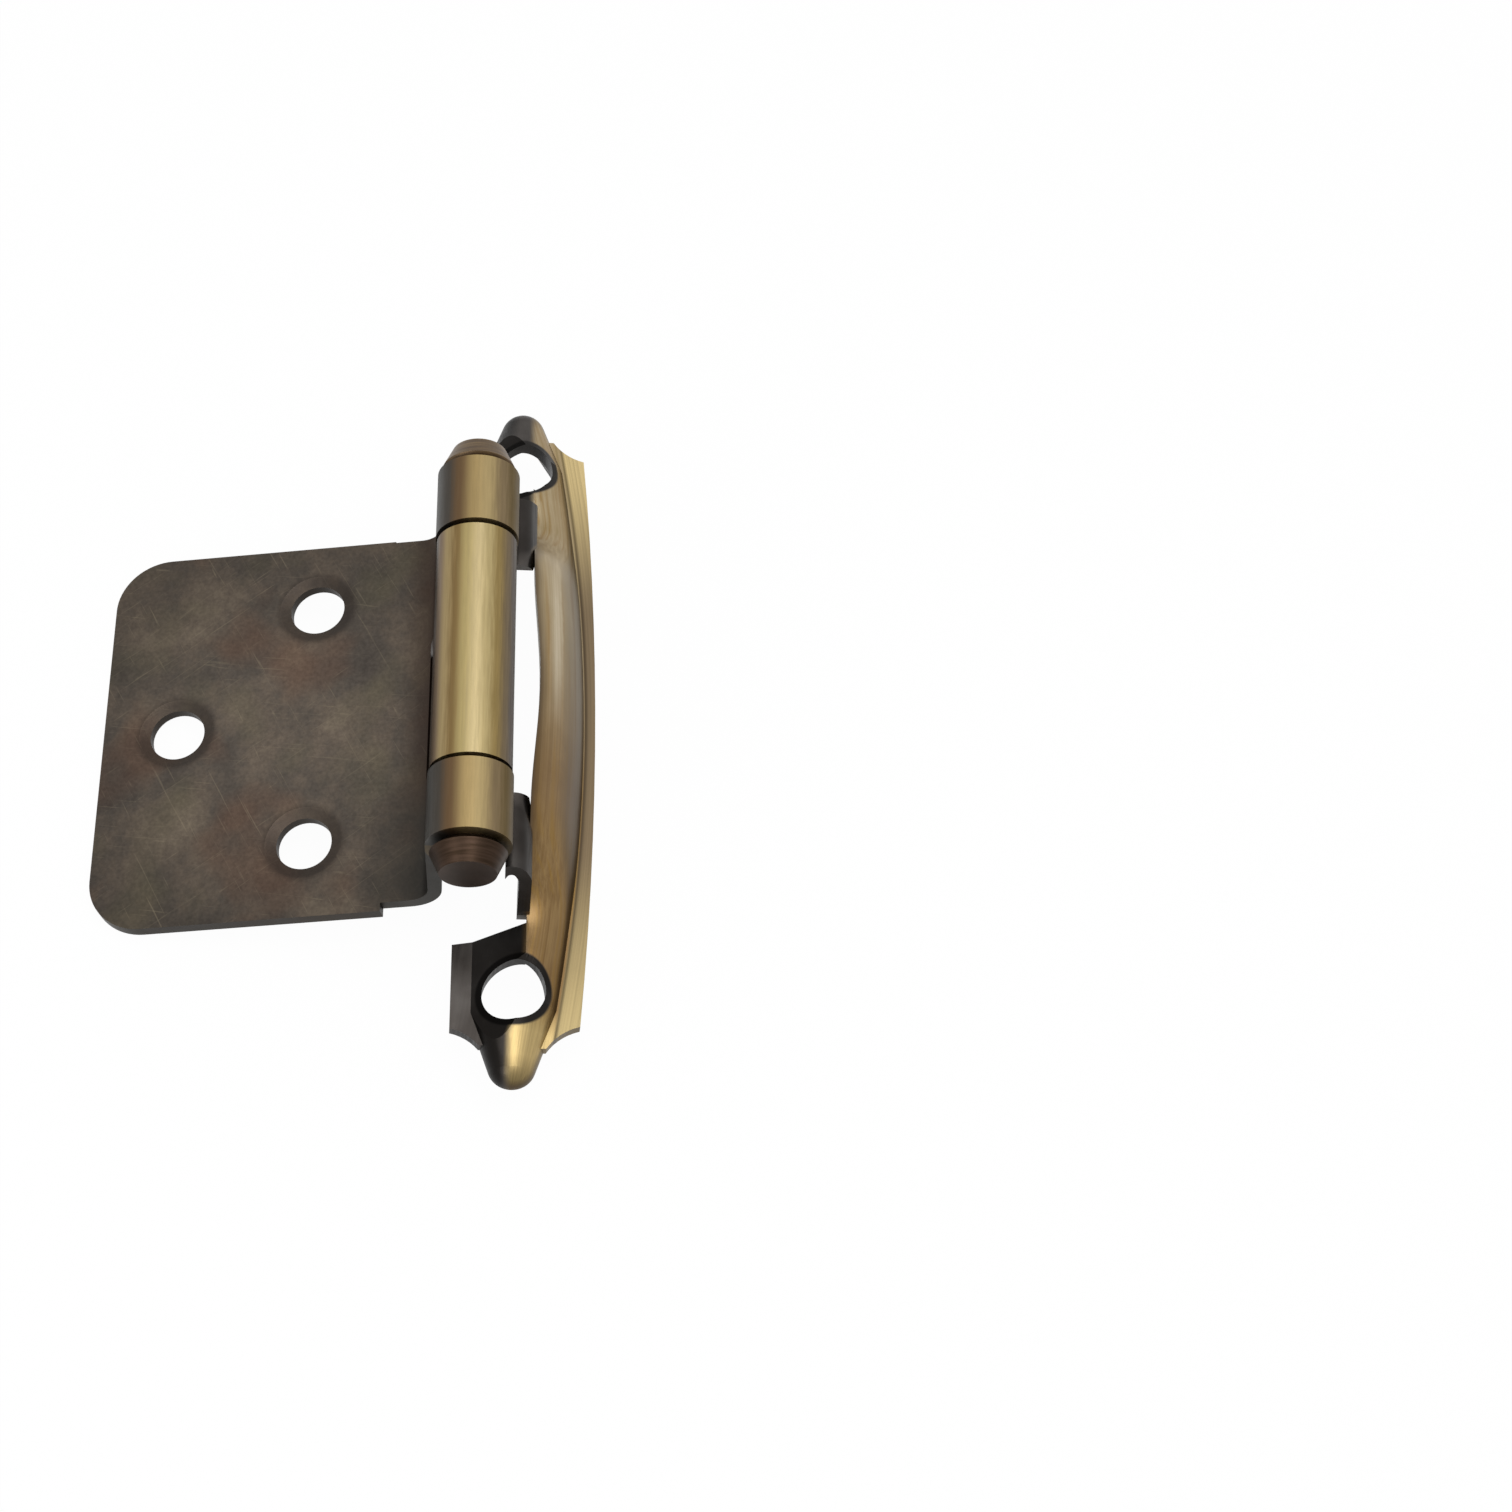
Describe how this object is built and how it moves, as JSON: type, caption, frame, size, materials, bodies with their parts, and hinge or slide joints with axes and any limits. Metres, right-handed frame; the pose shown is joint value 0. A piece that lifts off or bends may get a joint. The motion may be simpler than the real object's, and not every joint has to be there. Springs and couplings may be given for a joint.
{
  "type": "overlay cabinet hinge",
  "caption": "Self-closing overlay cabinet hinge: bent door leaf with rolled outer knuckles and a bowed, ridged frame leaf with finial ends, turning on a pin with button tips.",
  "frame": {"origin": "midway between the two frame screw holes, on the back of the frame leaf", "axes": "+X along the pin, +Y toward the bowed outer edge of the frame leaf, +Z away from the cabinet"},
  "size_m": [0.0698, 0.0444, 0.0222],
  "materials": {
    "frame_plating": "antique brass plated steel, brushed on the high faces",
    "door_plating": "antique brass plated steel, brown and mottled",
    "pin_steel": "plated steel",
    "tip_plating": "antique brass plated steel, brown",
    "spring_steel": "tempered spring steel, reddish brown"
  },
  "bodies": {
    "frame": {"frame_leaf": "frame_plating"},
    "door": {"door_leaf": "door_plating", "hinge_pin": "pin_steel", "pin_tip_left": "tip_plating", "pin_tip_right": "tip_plating", "closing_spring": "spring_steel"}
  },
  "joints": [
    {"name": "door_swing", "type": "hinge", "parent": "frame", "child": "door", "pos_m": [0, -0.0043, 0.01345], "axis": [-1, 0, 0], "range_deg": [0, 185], "stiffness_Nm_per_rad": 0.03, "springref_deg": -22.92}
  ]
}
